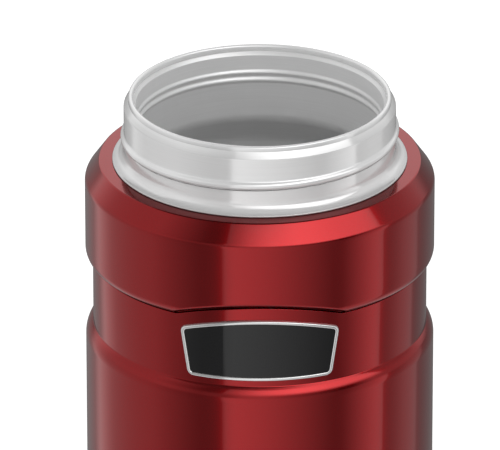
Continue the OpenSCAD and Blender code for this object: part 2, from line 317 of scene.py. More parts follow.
def thread_height(x, y, z):
    """Share of the thread's full height at a point of the neck's wall."""
    across, grown = along_thread(x, y, z)
    if not grown or not BELLY_FOOT < across < THREAD_FLANK[0][0]:
        return 0
    if across < BELLY_TOP:
        return grown * math.sqrt(1 - ((across - BELLY_TOP) / BELLY_W) ** 2)
    for (foot, low), (head, high) in zip(THREAD_FLANK, THREAD_FLANK[1:]):
        if across > head:
            return grown * (low + (high - low) * (foot - across) / (foot - head))
    return grown


def crease_depth(x, y, z):
    """Share of the crease's full depth at a point of the neck's wall."""
    across, grown = along_thread(x, y, z)
    aside = across - CREASE_PLACE
    if not grown or abs(aside) > CREASE_HALF_W:
        return 0
    return grown * (1 - (aside / CREASE_HALF_W) ** 2)


def painted_shade_at(r, z):
    """Painted shade: how much darker the neck's steel is painted in its corner with the flange and
    on its bevel.
    """
    shade_below = FLANGE_TOP_Z + CORNER_SHADE_H
    if z < shade_below:
        return CORNER_SHADE * min(1, (shade_below - z) / CORNER_SHADE_H)
    if BEVEL_Z - 0.1 < z < BAND_Z + 0.1 and r > LIP_OUT_R - 0.05:
        return BEVEL_SHADE
    return 0


def make_neck():
    inner_r = NECK_R - NECK_T
    edge = (FLANGE_R - FLANGE_T / 2, COLLAR_TOP_Z + FLANGE_T / 2)
    low, high = (NECK_R, FLANGE_TOP_Z + FILLET), (NECK_R, BEVEL_Z - BEVEL_LOW_DROP)
    thread_low, thread_high = (NECK_R, THREAD_LOW_Z), (NECK_R, THREAD_HIGH_Z)
    bevel_low = (NECK_R - BEVEL_LOW_ROUND, BEVEL_Z - BEVEL_LOW_DROP)
    bevel_top = (LIP_OUT_R - BEVEL_TOP_ROUND, BAND_Z - BEVEL_TOP_DROP)
    section = (
        [(inner_r, SHELL_TOP_Z - SHELL_T), (NECK_R, SHELL_TOP_Z - SHELL_T), (NECK_R, COLLAR_TOP_Z)]
        + arc(edge, FLANGE_T / 2, -90, 90)
        + arc((NECK_R + FILLET, FLANGE_TOP_Z + FILLET), FILLET, 270, 180, 12)
        + rows(low, thread_low, WALL_ROW)
        + [thread_low]
        + rows(thread_low, thread_high, THREAD_ROW)
        + [thread_high]
        + rows(thread_high, high, WALL_ROW)
        + arc(bevel_low, BEVEL_LOW_ROUND, 0, BEVEL_ANGLE, 5)
        + arc(bevel_top, BEVEL_TOP_ROUND, BEVEL_ANGLE, 0, 4)
        + arc((LIP_OUT_R - LIP_ROUND, LIP_Z), LIP_ROUND, 0, 180, 12)
        + [(LIP_IN_R, FLARE_Z), (LIP_OUT_R - NECK_T, FLARE_Z), (inner_r, BEVEL_Z - BEVEL_IN_DROP)]
    )
    neck = turned("neck", section, steps=288)
    # An attribute of painted shade on the neck's points, which its finish lays over as a darker
    # tone
    painted_shade = neck.data.attributes.new("painted_shade", "FLOAT", "POINT")
    wall = []
    for v in neck.data.vertices:
        place = [c / MM for c in v.co]
        r, z = math.hypot(place[0], place[1]), place[2]
        painted_shade.data[v.index].value = painted_shade_at(r, z)
        if abs(r - NECK_R) < 0.01 and z > low[1]:
            wall.append((v.index, place))
            # The crease under the thread is painted as shade too, where the thread's overhang
            # shades the wall
            painted_shade.data[v.index].value = painted_shade_at(r, z) or crease_depth(*place)
    for name, shape, strength in (
        ("crease_depth", crease_depth, -CREASE_DEPTH),
        ("thread", thread_height, THREAD_H),
    ):
        group = neck.vertex_groups.new(name=name)
        for i, place in wall:
            share = shape(*place)
            if share:
                group.add([i], share, "REPLACE")
        displace(neck, name, strength)
    return settle(neck)


# ---------------------------------------------------------------- collar

# Above its lower edge the collar's wall comes out along an arc, which ends at a height, and it is
# plain from another height on
DRAW_IN_R = 3.2
DRAW_IN_Z = 102.171
PLAIN_WALL_Z = 112.0

# The relief over the badge: a slanting plane that starts at a distance in front of the axis
RELIEF_SLOPE = 0.679
RELIEF_RUN_OUT = 43.52

# Round of the lower edge, and what it gains by the time that the relief has lifted it so far
EDGE_ROUND = 0.6
RELIEF_ROUND = 0.4
RELIEF_ROUND_LIFT = 1.5

# Rows of the lower edge: in its round, along the arc above it and up to the plain wall, with the
# least step out of the bore and the least height of the arc's rows
ROUND_STEPS = 9
ARC_ROWS = 10
WALL_ROWS = 5
LEAST_STEP = 0.04
LEAST_ARC_H = 0.8


def relief_at(turn):
    """How far the relief lifts the collar's inner edge at a turn, in radians from the front."""
    return RELIEF_SLOPE * max(0, COLLAR_IN_R * math.cos(turn) - RELIEF_RUN_OUT)


def wall_r_at(z):
    """Radius of the collar's wall at a height."""
    drop = max(0, DRAW_IN_Z - z)
    return BODY_R - DRAW_IN_R + math.sqrt(DRAW_IN_R**2 - drop**2)


def collar_lip(turn):
    """Lower end of the collar at one turn: its inner edge, its face, its round and its wall."""
    lift = relief_at(turn)
    low = COLLAR_LOW_Z + lift
    slope = RELIEF_SLOPE * math.cos(turn) if lift else 0
    tall = math.hypot(1, slope)
    radius = EDGE_ROUND + RELIEF_ROUND * min(1, lift / RELIEF_ROUND_LIFT)

    # Where the round touches the wall depends on the wall's tilt there, so both are found in steps
    tilt = 0
    for _ in range(12):
        touch = low + slope * (BODY_R - COLLAR_IN_R) + radius * (tall - math.sin(tilt))
        for _ in range(4):
            centre_r = wall_r_at(touch) - radius * math.cos(tilt)
            touch = low + slope * (centre_r - COLLAR_IN_R) + radius * (tall - math.sin(tilt))
        tilt = math.asin(max(0, DRAW_IN_Z - touch) / DRAW_IN_R)

    centre = (centre_r, touch + radius * math.sin(tilt))
    face = math.degrees(math.atan(slope)) - 90
    bend = arc(centre, radius, face, -math.degrees(tilt), ROUND_STEPS)
    bend = [(max(r, COLLAR_IN_R + LEAST_STEP * (i + 1)), z) for i, (r, z) in enumerate(bend)]
    top = max(DRAW_IN_Z, touch + LEAST_ARC_H)
    bow = max(tilt, 0.01)
    heights = []
    for i in range(1, ARC_ROWS + 1):
        risen = 1 - math.sin(bow * (1 - i / ARC_ROWS)) / math.sin(bow)
        heights.append(touch + (top - touch) * risen)
    heights += [top + (PLAIN_WALL_Z - top) * i / WALL_ROWS for i in range(1, WALL_ROWS + 1)]
    return [(COLLAR_IN_R, low)] + bend + [(wall_r_at(z), z) for z in heights]


def make_collar():
    lip = collar_lip(math.pi)
    section = rounded(
        lip
        + rows((BODY_R, PLAIN_WALL_Z), (BODY_R, CHAMFER_LOW_Z), 2.5)
        + [(BODY_R, CHAMFER_LOW_Z, CHAMFER_ROUND), (CHAMFER_TOP_R, COLLAR_TOP_Z, 0.7)]
        + [(NECK_R + FIT_GAP, COLLAR_TOP_Z), (NECK_R + FIT_GAP, COLLAR_UNDER_Z)]
        + [(CONE_R + FIT_GAP, COLLAR_UNDER_Z), (COLLAR_IN_R, CONE_Z)],
        steps=8,
    )
    collar = turned("shoulder_collar_shell", section, steps=384)
    for v in collar.data.vertices:
        x, y, z = (c / MM for c in v.co)
        turn, r = math.atan2(x, -y), math.hypot(x, y)
        if z < PLAIN_WALL_Z - 0.01 and relief_at(turn):
            row = min(range(len(lip)), key=lambda i: math.hypot(lip[i][0] - r, lip[i][1] - z))
            r, z = collar_lip(turn)[row]
            v.co = (r * math.sin(turn) * MM, -r * math.cos(turn) * MM, z * MM)
    collar.data.update()
    return settle(collar, angle=28)


# ---------------------------------------------------------------- shell

# The groove round the waist starts under the collar's edge, and stands inside as a bead
GROOVE_DROP = 0.6
GROOVE_DEPTH = 0.9
GROOVE_H = 2.8
BEAD_MARGIN = 0.4
BEAD_SLOPE_H = 0.6


def make_shell():
    curl = arc((BODY_R - CURL_R, CURL_R + FOOT_LIFT + SHELL_T), CURL_R, -60, 0, 10)
    shoulder_centre = (BODY_R - SHOULDER_ROUND, SHOULDER_Z)
    shoulder = arc(shoulder_centre, SHOULDER_ROUND, 0, SHOULDER_SWEEP, 14)
    below = curl + shoulder[:-1] + [(WAIST_R, WAIST_LOW_Z, 0.5)]
    above = [(WAIST_R, CONE_Z, 1.2), (CONE_R, SHELL_TOP_Z, 0.6), (NECK_R, SHELL_TOP_Z)]

    low_z, groove_r = COLLAR_LOW_Z - GROOVE_DROP, WAIST_R - GROOVE_DEPTH
    high_z = low_z + GROOVE_H
    groove = [(WAIST_R, low_z, 0.3), (groove_r, low_z, 0.15)]
    groove += [(groove_r, high_z, 0.3), (WAIST_R, high_z, 0.3)]

    wall_r, bead_r = WAIST_R - SHELL_T, groove_r - SHELL_T
    bead_low_z, bead_high_z = low_z - BEAD_MARGIN, high_z + BEAD_MARGIN
    bead = [(wall_r, bead_high_z + BEAD_SLOPE_H), (bead_r, bead_high_z)]
    bead += [(bead_r, bead_low_z), (wall_r, bead_low_z - BEAD_SLOPE_H)]
    plain = rounded(below + above)
    inside = sheet(plain, SHELL_T)[len(plain) :]
    under = next(i for i, (r, z) in enumerate(inside) if z < low_z)
    inside[under:under] = bead

    # Groove and bead follow the relief of the collar's edge above them
    shell = turned("body_shell", rounded(below + groove + above) + inside, steps=384)
    for v in shell.data.vertices:
        if bead[-1][1] - 0.2 < v.co.z / MM < bead[0][1] + 0.2:
            v.co.z += relief_at(math.atan2(v.co.x, -v.co.y)) * MM
    shell.data.update()
    return settle(shell)


# ---------------------------------------------------------------- liner

BEAD_STEPS = 14


def make_liner():
    flare_low = FLARE_Z - FLARE_RIM_H - FLARE_W
    bead_low = flare_low - MOUTH_H - 2 * SEAT_BEAD_W
    beads = []
    for i in range(2 * BEAD_STEPS + 1):
        height = SEAT_BEAD_H * (1 - math.cos(math.tau * i / BEAD_STEPS)) / 2
        beads.append((MOUTH_R - height, bead_low + SEAT_BEAD_W * i / BEAD_STEPS))
    path = rounded(
        [(LINER_R, WELD_Z), (LINER_R, JAR_H - THROAT_H - LINER_SHOULDER_H, LINER_ROUND)]
        + [(MOUTH_R, JAR_H - THROAT_H, LINER_ROUND)]
        + beads
        + [(MOUTH_R, flare_low, 0.4), (LIP_IN_R, FLARE_Z - FLARE_RIM_H, 0.15), (LIP_IN_R, FLARE_Z)],
        steps=8,
    )
    return turned("liner_wall", sheet(path, -LINER_T))


def make_liner_floor():
    corner = (LINER_R, LINER_FLOOR_Z, LINER_ROUND)
    path = rounded([(0, LINER_FLOOR_Z), corner, (LINER_R, WELD_Z)], steps=12)
    return turned("liner_floor", sheet(path, -LINER_T))


# ---------------------------------------------------------------- base

# The foot ring stands on two lands with a shallow channel between them
FOOT_LAND_W = 1.4
CHANNEL_SLOPE_W = 0.3
CHANNEL_H = 0.35


def make_base():
    curl_end_r = BODY_R - CURL_R / 2
    wall_r = curl_end_r - SHELL_T - COVER_GAP
    groove_out, groove_in = FOOT_R + FIT_GAP, FOOT_R - FOOT_W - FIT_GAP
    land_in, recess_z = groove_in - COVER_LAND_W, FOOT_LIFT + COVER_RECESS
    path = rounded(
        [(0, recess_z), (land_in - COVER_SLOPE_W, recess_z, 1.2), (land_in, FOOT_LIFT, 0.6)]
        + [(groove_in, FOOT_LIFT, 0.3), (groove_in, FOOT_TOP_Z), (groove_out, FOOT_TOP_Z)]
        + [(groove_out, FOOT_LIFT, 0.3), (wall_r, FOOT_LIFT, COVER_ROUND), (wall_r, BOTTOM_Z)],
        steps=6,
    )
    return turned("base_plate", sheet(path, COVER_T))


def make_foot():
    inner, outer = FOOT_R - FOOT_W, FOOT_R
    channel_in = inner + FOOT_LAND_W + CHANNEL_SLOPE_W
    channel_out = outer - FOOT_LAND_W - CHANNEL_SLOPE_W
    section = rounded(
        [(inner, 0, 0.35), (inner + FOOT_LAND_W, 0, 0.2), (channel_in, CHANNEL_H, 0.2)]
        + [(channel_out, CHANNEL_H, 0.2), (outer - FOOT_LAND_W, 0, 0.2), (outer, 0, 0.35)]
        + [(outer, FOOT_TOP_Z), (inner, FOOT_TOP_Z)],
        steps=4,
    )
    return turned("foot", section)


# ---------------------------------------------------------------- badge

# The long edges stop at a distance from the corners, in corner radii, and the corners join them
CORNER_ROOM = 1.3
CORNER_STEPS = 10
EDGE_STEPS = 14

# The round of the frame's edges, and the strips of the plate that let it bend: their width, and
# how many there are to each side
BEZEL_ROUND = 0.38
STRIP_W = 1.35
SIDE_STRIPS = 16


def badge_outline(inset):
    """Half of the badge's outline seen from the front, drawn in by inset, from its foot up."""
    foot = Vector((BADGE_LOW_W / 2, BADGE_LOW_Z + BADGE_BOW))
    head = Vector((BADGE_TOP_W / 2, BADGE_HIGH_Z - BADGE_ARCH))
    top_r = ((BADGE_TOP_W / 2) ** 2 + BADGE_ARCH**2) / (2 * BADGE_ARCH)
    low_r = ((BADGE_LOW_W / 2) ** 2 + BADGE_BOW**2) / (2 * BADGE_BOW)
    top_centre = Vector((0, BADGE_HIGH_Z - top_r))
    low_centre = Vector((0, BADGE_LOW_Z + low_r))
    up = (head - foot).normalized()
    side = (foot + head) / 2 + Vector((-up.y, up.x)) * inset

    def meets(direction, centre, radius):
        q = side - centre
        k = q.dot(direction)
        return side + direction * (math.sqrt(k * k - q.dot(q) + radius * radius) - k)

    head = meets(up, top_centre, top_r - inset)
    foot = meets(-up, low_centre, low_r - inset)
    low_end = math.atan2(foot.y - low_centre.y, foot.x)
    top_end = math.atan2(head.y - top_centre.y, head.x)
    radius = BADGE_ROUND - inset
    low_gap = CORNER_ROOM * radius / (low_r - inset)
    top_gap = CORNER_ROOM * radius / (top_r - inset)
    low_edge = arc(low_centre, low_r - inset, -90, math.degrees(low_end - low_gap), EDGE_STEPS)
    top_edge = arc(top_centre, top_r - inset, math.degrees(top_end + top_gap), 90, EDGE_STEPS)
    corners = rounded([low_edge[-1], (*foot, radius), (*head, radius), top_edge[0]], CORNER_STEPS)
    return low_edge + corners[1:-1] + top_edge


def badge_blank(name, inset, radius):
    """A flat blank in the badge's outline, standing upright in front of the waist."""
    half = badge_outline(inset)
    outline = half + [(-x, z) for x, z in half[-2:0:-1]]
    blank = first_point(name, (outline[0][0] * MM, -radius * MM, outline[0][1] * MM))
    draw_on([(x, 0, z) for x, z in outline + outline[:1]])
    join_close(1e-6)
    select_mesh()
    bpy.ops.mesh.edge_face_add()
    return blank


def thicken(height):
    """Gives the blank that is being edited its height toward the front."""
    select_mesh()
    extrude((0, -height * MM, 0))
    face_outward()


def bend_to_waist(piece):
    """Wraps an upright flat piece round the axis, keeping its width as seen from the front."""
    for v in piece.data.vertices:
        v.co.y = -math.sqrt(v.co.y**2 - v.co.x**2)
    piece.data.update()


def make_bezel():
    bezel = badge_blank("badge_frame", 0, WAIST_R)
    bpy.ops.mesh.select_mode(type="FACE")
    select_mesh()
    bpy.ops.mesh.inset(thickness=BEZEL_W * MM, depth=0, use_even_offset=True)
    bpy.ops.mesh.delete(type="FACE")
    thicken(BEZEL_H)
    settle(bezel)

    # The rims of the front are the edges that only one of its faces has
    front_y = -(WAIST_R + BEZEL_H - 0.01) * MM
    front_edges = [
        tuple(sorted(key))
        for face in bezel.data.polygons
        if abs(face.normal.y) > 0.9 and face.center.y < front_y
        for key in face.edge_keys
    ]
    bpy.ops.object.mode_set(mode="EDIT")
    bpy.ops.mesh.select_mode(type="EDGE")
    bpy.ops.mesh.select_all(action="DESELECT")
    bpy.ops.object.mode_set(mode="OBJECT")
    for e in bezel.data.edges:
        e.select = front_edges.count(tuple(sorted(e.vertices))) == 1
    bpy.ops.object.mode_set(mode="EDIT")
    bpy.ops.mesh.bevel(offset=BEZEL_ROUND * MM, segments=4, profile=0.5, clamp_overlap=False)
    bpy.ops.object.mode_set(mode="OBJECT")
    bend_to_waist(bezel)
    return settle(bezel, angle=30)


def make_plate():
    plate = badge_blank("badge_face", BEZEL_W, WAIST_R + ADHESIVE_T)
    for i in range(-SIDE_STRIPS, SIDE_STRIPS + 1):
        select_mesh()
        bpy.ops.mesh.bisect(plane_co=(i * STRIP_W * MM, 0, 0), plane_no=(1, 0, 0))
    thicken(PLATE_T)
    settle(plate)
    bend_to_waist(plate)
    return settle(plate, angle=30)


# ---------------------------------------------------------------- material tools


def new_group(name, inputs, outputs):
    """An empty shader group for numbers. Returns the group and its two ends."""
    group = bpy.data.node_groups.new(name, "ShaderNodeTree")
    for label, value in inputs.items():
        socket = group.interface.new_socket(
            name=label, in_out="INPUT", socket_type="NodeSocketFloat"
        )
        socket.default_value = value
    for label in outputs:
        group.interface.new_socket(name=label, in_out="OUTPUT", socket_type="NodeSocketFloat")
    return group, group.nodes.new("NodeGroupInput"), group.nodes.new("NodeGroupOutput")


def feed(tree, socket, value):
    """Sets a socket to a number or a colour, or links another node's output to it."""
    if isinstance(value, (int, float, tuple)):
        socket.default_value = value
    else:
        tree.links.new(value, socket)


def calc(tree, operation, *values):
    """A Math node on outputs or numbers. Returns its output."""
    node = tree.nodes.new("ShaderNodeMath")
    node.operation = operation
    for socket, value in zip(node.inputs, values):
        feed(tree, socket, value)
    return node.outputs[0]


def noise(tree, vector, scale, detail, roughness=0.5):
    node = tree.nodes.new("ShaderNodeTexNoise")
    feed(tree, node.inputs["Vector"], vector)
    feed(tree, node.inputs["Scale"], scale)
    feed(tree, node.inputs["Detail"], detail)
    feed(tree, node.inputs["Roughness"], roughness)
    return node.outputs[0]


def spread(tree, value, low, high, to_low, to_high):
    """Maps a value from one range to another and keeps it inside."""
    node = tree.nodes.new("ShaderNodeMapRange")
    feed(tree, node.inputs["Value"], value)
    labels = ("From Min", "From Max", "To Min", "To Max")
    for label, number in zip(labels, (low, high, to_low, to_high)):
        feed(tree, node.inputs[label], number)
    return node.outputs[0]


def blend(tree, factor, a, b, mode="MIX"):
    """Mixes two colours by a factor. Returns the output."""
    node = tree.nodes.new("ShaderNodeMix")
    node.data_type = "RGBA"
    node.blend_type = mode
    for label, value in (("Factor", factor), ("A", a), ("B", b)):
        feed(tree, node.inputs[label], value)
    return node.outputs["Result"]


def object_place(tree):
    return tree.nodes.new("ShaderNodeTexCoord").outputs["Object"]


def axes_of(tree, vector):
    parts = tree.nodes.new("ShaderNodeSeparateXYZ")
    tree.links.new(vector, parts.inputs[0])
    return parts.outputs


# ---------------------------------------------------------------- material effects


def turning_lines():
    """Fine lines that a lathe or a brushing wheel leaves round the axis."""
    group, given, gives = new_group(
        "turning lines",
        {"Spacing": 4000, "Roughness": 0.3, "Variation": 0.06},
        ["Height", "Roughness", "Tone"],
    )
    place = object_place(group)
    x, y, z = axes_of(group, place)
    square = calc(group, "MULTIPLY_ADD", x, x, calc(group, "MULTIPLY", y, y))
    radius = calc(group, "SQRT", square)

    # The noise runs slowly round the axis, and quickly up a wall or out over a flat face
    off_axis = calc(group, "MAXIMUM", radius, 0.0005)
    lines = group.nodes.new("ShaderNodeCombineXYZ")
    for axis, socket in ((x, lines.inputs[0]), (y, lines.inputs[1])):
        slow = calc(group, "MULTIPLY", calc(group, "DIVIDE", axis, off_axis), 1.6)
        group.links.new(slow, socket)
    run = calc(group, "MULTIPLY_ADD", z, 1.7, radius)
    group.links.new(calc(group, "MULTIPLY", run, given.outputs["Spacing"]), lines.inputs[2])
    fine = noise(group, lines.outputs[0], scale=1.0, detail=3.0, roughness=0.65)
    patches = noise(group, place, scale=55.0, detail=3.0, roughness=0.6)

    mixed = calc(group, "MULTIPLY_ADD", patches, 0.5, calc(group, "MULTIPLY", fine, 0.5))
    centred = calc(group, "SUBTRACT", mixed, 0.5)
    offset = calc(group, "MULTIPLY", centred, given.outputs["Variation"])
    rough = calc(group, "MULTIPLY_ADD", offset, 2.0, given.outputs["Roughness"])
    group.links.new(fine, gives.inputs["Height"])
    group.links.new(rough, gives.inputs["Roughness"])
    group.links.new(spread(group, fine, 0.3, 0.7, 0.94, 1.0), gives.inputs["Tone"])
    return group


def lacquer_skin():
    """The slow waviness, the metal flake and the handling marks of a sprayed lacquer."""
    group, given, gives = new_group(
        "lacquer skin", {"Roughness": 0.2, "Marks": 0.05}, ["Waviness", "Roughness", "Flake"]
    )
    place = object_place(group)
    group.links.new(noise(group, place, scale=420.0, detail=2.0), gives.inputs["Waviness"])
    flake = group.nodes.new("ShaderNodeTexVoronoi")
    flake.inputs["Scale"].default_value = 9000.0
    group.links.new(place, flake.inputs["Vector"])
    sparkle = group.nodes.new("ShaderNodeSeparateColor")
    group.links.new(flake.outputs["Color"], sparkle.inputs[0])
    group.links.new(spread(group, sparkle.outputs[0], 0.0, 1.0, 0.9, 1.0), gives.inputs["Flake"])
    smudge = noise(group, place, scale=38.0, detail=4.0, roughness=0.62)
    marks = spread(group, smudge, 0.45, 0.75, 0.0, 1.0)
    rough = calc(group, "MULTIPLY_ADD", marks, given.outputs["Marks"], given.outputs["Roughness"])
    group.links.new(rough, gives.inputs["Roughness"])
    return group


def fine_grain():
    """The fine matt grain of moulded silicone, tape and cast metal."""
    group, given, gives = new_group(
        "fine grain", {"Size": 3000, "Roughness": 0.7}, ["Height", "Roughness", "Tone"]
    )
    place = object_place(group)
    group.links.new(noise(group, place, given.outputs["Size"], detail=3.0), gives.inputs["Height"])
    dust = noise(group, place, scale=90.0, detail=4.0, roughness=0.6)
    least = calc(group, "SUBTRACT", given.outputs["Roughness"], 0.08)
    group.links.new(calc(group, "MULTIPLY_ADD", dust, 0.16, least), gives.inputs["Roughness"])
    group.links.new(spread(group, dust, 0.3, 0.7, 0.86, 1.0), gives.inputs["Tone"])
    return group


LINES = turning_lines()
SKIN = lacquer_skin()
GRAIN = fine_grain()


# ---------------------------------------------------------------- finishes


def finish_of(name, group, given, colour, tone, height, depth, **sockets):
    """A material whose colour, roughness and surface relief come from one of the groups."""
    material = bpy.data.materials.new(name)
    material.use_nodes = True
    tree = material.node_tree
    shader = tree.nodes["Principled BSDF"]
    for label, value in sockets.items():
        shader.inputs[label.replace("_", " ")].default_value = value
    effect = tree.nodes.new("ShaderNodeGroup")
    effect.node_tree = group
    for label, value in given.items():
        effect.inputs[label].default_value = value
    tint = blend(tree, 1.0, (*colour, 1), effect.outputs[tone], "MULTIPLY")
    tree.links.new(tint, shader.inputs["Base Color"])
    tree.links.new(effect.outputs["Roughness"], shader.inputs["Roughness"])
    bump = tree.nodes.new("ShaderNodeBump")
    bump.inputs["Strength"].default_value = 1.0
    bump.inputs["Distance"].default_value = depth
    tree.links.new(effect.outputs[height], bump.inputs["Height"])
    tree.links.new(bump.outputs[0], shader.inputs["Normal"])
    return material


def glossy(name, colour, roughness, marks, depth, **sockets):
    """A lacquer or an enamel: a tinted base under a hard clear coat."""
    given = {"Roughness": roughness, "Marks": marks}
    sockets = {"Coat_Roughness": 0.01, "Coat_IOR": 1.5, **sockets}
    return finish_of(name, SKIN, given, colour, "Flake", "Waviness", depth, **sockets)


def red_lacquer(name):
    return glossy(
        name, RED, roughness=0.2, marks=0.03, depth=1.2e-6, Metallic=1.0, Coat_Weight=0.8
    )


def steel(name, colour, roughness, spacing, depth, variation, metallic=1.0):
    given = {"Spacing": spacing, "Roughness": roughness, "Variation": variation}
    return finish_of(name, LINES, given, colour, "Tone", "Height", depth, Metallic=metallic)


def matt(name, colour, roughness, size, depth, metallic=0.0):
    given = {"Size": size, "Roughness": roughness}
    return finish_of(name, GRAIN, given, colour, "Tone", "Height", depth, Metallic=metallic)


def lay_over(material, share, colour):
    """Mixes a colour over the one that a finish has, by a share from one of its nodes."""
    tree = material.node_tree
    target = tree.nodes["Principled BSDF"].inputs["Base Color"]
    source = target.links[0].from_socket
    tree.links.new(blend(tree, share, source, (*colour, 1)), target)


def paint_shade_by(material, attribute, colour):
    """Lays painted shade, a darker tone, over a finish where one of the piece's own attributes says
    so.
    """
    share = material.node_tree.nodes.new("ShaderNodeAttribute")
    share.attribute_name = attribute
    lay_over(material, share.outputs["Fac"], colour)


def paint_shade_in_reflections(material, share):
    """Paints a finish darker where another surface mirrors it, such as the bare neck in the
    collar's lacquer: painted shade in its reflections.
    """
    tree = material.node_tree
    mirrored = tree.nodes.new("ShaderNodeLightPath").outputs["Is Glossy Ray"]
    lay_over(material, calc(tree, "MULTIPLY", mirrored, share), (0, 0, 0))


RED = (0.455, 0.006, 0.009)
# Colour of the painted shade on the neck's steel
PAINTED_SHADE_GREY = (0.06, 0.055, 0.055)

shell_red = red_lacquer("shell_lacquer")
collar_red = red_lacquer("collar_lacquer")
neck_steel = steel(
    "spun_neck_steel", (0.9, 0.9, 0.9),
    roughness=0.12, spacing=4200, depth=3e-6, variation=0.05, metallic=0.38,
)
# Painted shade on the neck: darker in the flange corner, on the bevel and in the thread's crease
paint_shade_by(neck_steel, "painted_shade", PAINTED_SHADE_GREY)
# Painted shade on the neck's reflection in the collar's lacquer
paint_shade_in_reflections(neck_steel, 0.55)
liner_steel = steel(
    "satin_liner_steel", (0.88, 0.88, 0.88),
    roughness=0.34, spacing=3600, depth=3e-6, variation=0.06, metallic=0.45,
)
cover_steel = steel(
    "brushed_base_steel", (0.62, 0.62, 0.63),
    roughness=0.32, spacing=4200, depth=8e-6, variation=0.08,
)
chrome = steel(
    "plated_frame", (0.97, 0.97, 0.97),
    roughness=0.09, spacing=2500, depth=1e-6, variation=0.03, metallic=0.82,
)
enamel = glossy(
    "badge_enamel", (0.006, 0.006, 0.0065),
    roughness=0.4, marks=0.06, depth=1e-6, Specular_IOR_Level=0.1, Coat_Weight=1.0,
)
foot_rubber = matt(
    "foot_silicone", (0.09, 0.09, 0.095), roughness=0.62, size=3500, depth=2e-5
)
gasket_rubber = matt(
    "gasket_silicone", (0.05, 0.05, 0.053), roughness=0.6, size=3500, depth=1e-5
)
tape = matt(
    "adhesive_tape", (0.45, 0.45, 0.43), roughness=0.8, size=1800, depth=3e-5
)
solder = matt(
    "solder_metal", (0.45, 0.46, 0.47), roughness=0.42, size=900, depth=4e-5, metallic=1.0
)
getter = matt(
    "sintered_getter", (0.10, 0.10, 0.105), roughness=0.75, size=2600, depth=4e-5, metallic=0.6
)
foil = matt(
    "rolled_foil", (0.86, 0.86, 0.87), roughness=0.22, size=260, depth=6e-5, metallic=1.0
)
bottom_steel = steel(
    "mill_steel", (0.55, 0.55, 0.56), roughness=0.36, spacing=2600, depth=8e-6, variation=0.1
)
holder_steel = steel(
    "pressed_steel", (0.5, 0.5, 0.51), roughness=0.34, spacing=3000, depth=8e-6, variation=0.1
)


# ---------------------------------------------------------------- pieces


def dress(piece, material, slot, *nodes):
    """Gives a piece its finish and has it stand for the nodes that it shows in finer detail."""
    piece.data.materials.clear()
    piece.data.materials.append(material)
    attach(piece, "root")
    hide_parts(*nodes)


dress(make_neck(), neck_steel, "neck_steel", "neck_ring")
dress(make_collar(), collar_red, "red_collar_lacquer", "shoulder_collar")
dress(make_shell(), shell_red, "red_shell_lacquer", "outer_shell")
dress(make_liner(), liner_steel, "liner_steel", "inner_liner")
dress(make_liner_floor(), liner_steel, "liner_steel", "liner_bottom")
dress(make_base(), cover_steel, "cover_steel", "base_cover")
dress(make_foot(), foot_rubber, "foot", "foot_ring")
dress(make_bezel(), chrome, "bezel_chrome", "badge_bezel")
dress(make_plate(), enamel, "badge_enamel", "badge_plate")

for node, material in {
    "collar_gasket": gasket_rubber,
    "outer_bottom": bottom_steel,
    "evacuation_seal": solder,
    "radiation_foil": foil,
    "getter_cup": holder_steel,
    "getter_pellet": getter,
    "badge_adhesive": tape,
}.items():
    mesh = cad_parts[node].data
    mesh.materials.clear()
    mesh.materials.append(material)


# ---------------------------------------------------------------- studio

# What the soft boxes show to glossy surfaces at four heights, as pairs of a turn in degrees from
# the front and a level
TABLE = [
    (-180, 0.16), (-142, 0.3), (-133, 0.7), (-115, 0.47), (-75, 0.46), (-40, 0.18), (-24.4, 0.18),
    (-23.6, 0.76), (-17, 0.82), (5, 0.65), (50, 0.18), (56, 0.19), (86, 0.8), (88.6, 0.76),
    (89.4, 0.25), (93, 0.25), (110, 0.4), (126, 0.42), (129, 0.2), (180, 0.16),
]
HORIZON = [
    (-180, 0.16), (-145, 0.2), (-136, 0.75), (-115, 0.5), (-65, 0.52), (-40, 0.25), (-22, 0.3),
    (-10, 0.6), (2, 0.6), (26, 0.3), (40, 0.18), (54, 0.03), (62, 0.05), (78, 0.5), (92, 0.4),
    (131, 0.5), (145, 0.2), (180, 0.16),
]
OVERHEAD = [
    (-180, 0.1), (-145, 0.3), (-133, 0.7), (-115, 0.47), (-75, 0.5), (-40, 0.12), (-25.4, 0.08),
    (-24.6, 0.55), (-17, 0.72), (-5, 1.25), (8, 1.7), (28, 2.0), (40, 1.9), (60, 1.6),
    (88, 1.45), (90, 0.25), (100, 0.36), (130, 0.3), (180, 0.1),
]
CANOPY = [
    (-180, 0.02), (-60, 0.12), (-24, 0.14), (-6, 0.35), (10, 0.5), (26, 0.9), (40, 1.5),
    (66, 1.6), (84, 1.1), (96, 0.4), (130, 0.1), (180, 0.02),
]

# Levels under the table's height, in the box behind the jar and at the zenith
GROUND = 0.55
BACK_BOX = 0.78
DARK = 0.02

# Where one height turns into the next, as sines of the elevation
TO_TABLE = (-0.75, -0.5)
TO_HORIZON = (0.04, 0.12)
TO_OVERHEAD = (0.3, 0.5)
TO_CANOPY = (0.77, 0.8)
TO_ZENITH = (0.88, 0.93)

# Where the box behind the jar fades in and out: two stretches of height, and one of the turn
BACK_BOX_LOW = (0.12, 0.3)
BACK_BOX_HIGH = (0.52, 0.66)
BACK_BOX_TURN = (125, 145)

# How far a second reflection goes dark, and the level of the white that lights matt surfaces
SECOND_REFLECTION = 0.6
MATT_LEVEL = 0.9

FLOOR_SIZE = 40
FLOOR_LEVEL = 0.45
FLOOR_GLOW = 0.7

# The camera's place in metres, its tilt down in degrees, and its lens in millimetres
CAMERA_PLACE = (0, -2.28207, 1.13321)
CAMERA_DOWN = 24.198
CAMERA_LENS = 604.78
CAMERA_SHIFT = -0.0196


def grey(level):
    return (level, level, level, 1)


